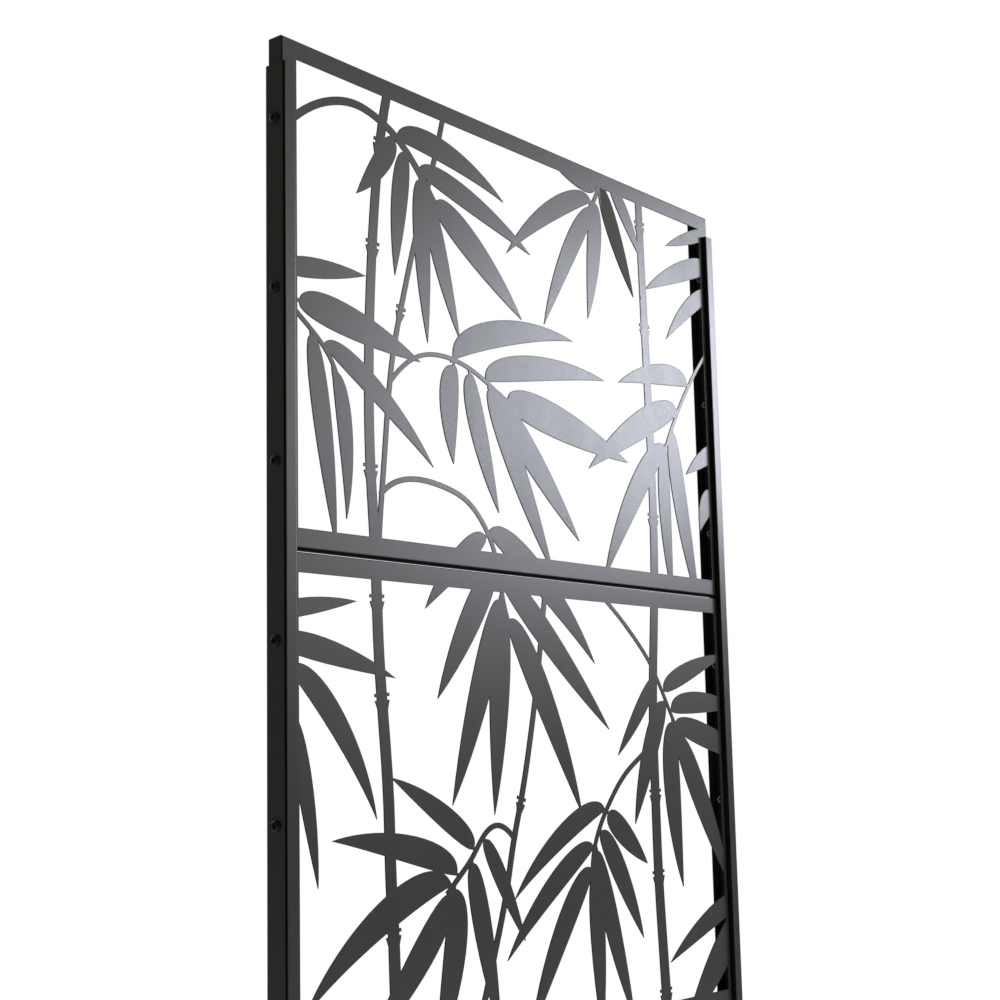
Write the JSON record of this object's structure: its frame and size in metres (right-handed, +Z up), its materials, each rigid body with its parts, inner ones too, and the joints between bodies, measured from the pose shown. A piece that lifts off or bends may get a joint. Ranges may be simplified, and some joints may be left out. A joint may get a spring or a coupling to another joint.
{
  "type": "metal fence panel",
  "caption": "Tall free-standing metal screen of stacked fretwork sheet panels with a bamboo picture, held between two folded posts on flat feet.",
  "frame": {"origin": "on the floor, midway between the posts and midway across the thickness of the posts", "axes": "+Z up, +X to the right as seen from the front, +Y to the back; the picture's face looks towards -Y"},
  "size_m": [0.9192, 0.42, 1.856],
  "materials": {
    "panel_coat": "satin charcoal powder coat with a fine metallic grain",
    "post_coat": "satin charcoal powder coat with a fine metallic grain",
    "foot_coat": "satin charcoal powder coat",
    "black_screws": "black-coated steel",
    "zinc_nuts": "zinc-plated steel"
  },
  "bodies": {
    "root": {"top_panel": "panel_coat", "middle_panel": "panel_coat", "bottom_panel": "panel_coat", "left_post": "post_coat", "right_post": "post_coat", "top_panel_screws": "black_screws", "middle_panel_screws": "black_screws", "bottom_panel_screws": "black_screws", "top_panel_rivet_nuts": "zinc_nuts", "middle_panel_rivet_nuts": "zinc_nuts", "bottom_panel_rivet_nuts": "zinc_nuts", "left_foot_bar": "foot_coat", "right_foot_bar": "foot_coat", "left_foot_bracket": "foot_coat", "right_foot_bracket": "foot_coat", "left_post_bolts": "black_screws", "right_post_bolts": "black_screws", "left_post_nuts": "zinc_nuts", "right_post_nuts": "zinc_nuts", "left_foot_screws": "black_screws", "right_foot_screws": "black_screws", "left_foot_nuts": "zinc_nuts", "right_foot_nuts": "zinc_nuts"}
  },
  "joints": []
}
